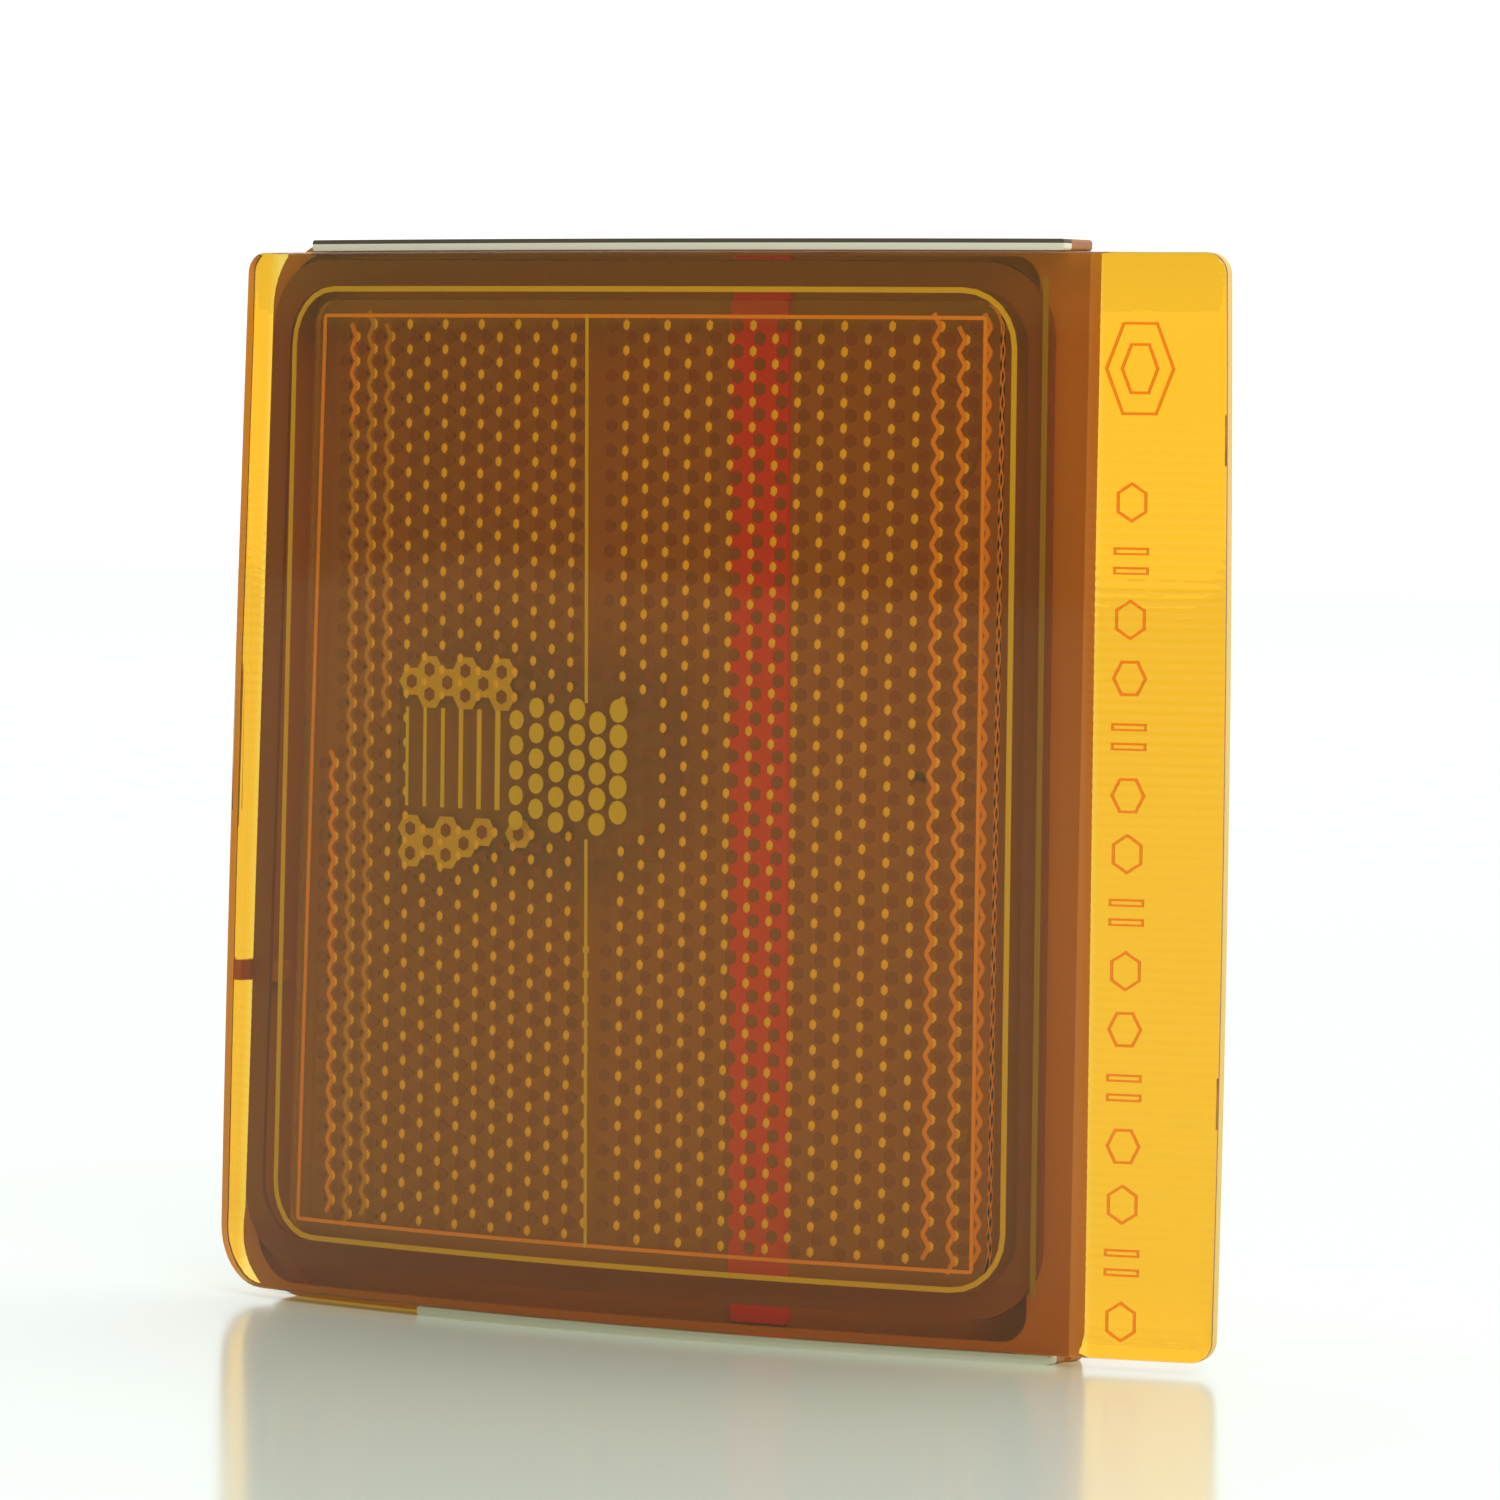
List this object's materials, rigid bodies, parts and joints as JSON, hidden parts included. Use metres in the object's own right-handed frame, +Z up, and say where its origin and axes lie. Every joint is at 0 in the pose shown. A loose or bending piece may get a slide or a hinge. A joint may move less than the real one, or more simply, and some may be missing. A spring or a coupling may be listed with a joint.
{
  "type": "vehicle side marker lamp",
  "caption": "Near-square curved amber lens with a hexagonal-pin reflex field and a small bulb window, on a shallow grey housing with a twist-in bulb holder and mounting studs.",
  "frame": {"origin": "bottom centre of the whole lamp, on the surface that its bottom edge stands on", "axes": "-Y out of the middle of the lens, +X along the lens to the flange with the moulded marks, +Z up"},
  "size_m": [0.1122, 0.0386, 0.1042],
  "materials": {
    "lens_amber": "clear amber moulded acrylic, polished front",
    "sealant_dark": "dark satin sealant bead",
    "reflex_amber": "clear amber moulded acrylic with hexagonal reflex pins",
    "housing_brown": "fine-grained dark red-brown ABS",
    "strip_red": "red reflective film",
    "bright_sheet": "bright satin sheet",
    "bulb_clear": "clear bulb glass",
    "wire_steel": "drawn nickel-iron wire",
    "filament_tungsten": "coiled tungsten",
    "socket_grey": "light grey glass-filled nylon",
    "gasket_black": "matt black rubber",
    "contact_brass": "tinned brass strip",
    "stud_zinc": "zinc-plated steel",
    "vent_rubber": "soft matt rubber",
    "membrane_white": "porous white film"
  },
  "bodies": {
    "lamp": {"lens": "lens_amber", "lens_seal": "sealant_dark", "reflex_plate": "reflex_amber", "housing": "housing_brown", "red_strip": "strip_red", "bulb_reflector": "bright_sheet", "stud_lower": "stud_zinc", "stud_upper": "stud_zinc", "vent_cap": "vent_rubber", "vent_membrane": "membrane_white"},
    "bulb_holder": {"socket_body": "socket_grey", "socket_gasket": "gasket_black", "contact_front": "contact_brass", "contact_rear": "contact_brass"},
    "bulb": {"bulb_glass": "bulb_clear", "bulb_supports": "wire_steel", "bulb_bead": "bulb_clear", "bulb_filament": "filament_tungsten", "bulb_leads": "wire_steel"}
  },
  "joints": [
    {"name": "holder_twist", "type": "hinge", "parent": "lamp", "child": "bulb_holder", "pos_m": [-0.038, 0.0077, 0.0535], "axis": [-1, 0, 0], "range_deg": [0, 45]},
    {"name": "bulb_pull", "type": "slide", "parent": "bulb_holder", "child": "bulb", "axis": [1, 0, 0], "range_m": [0, 0.007]}
  ]
}
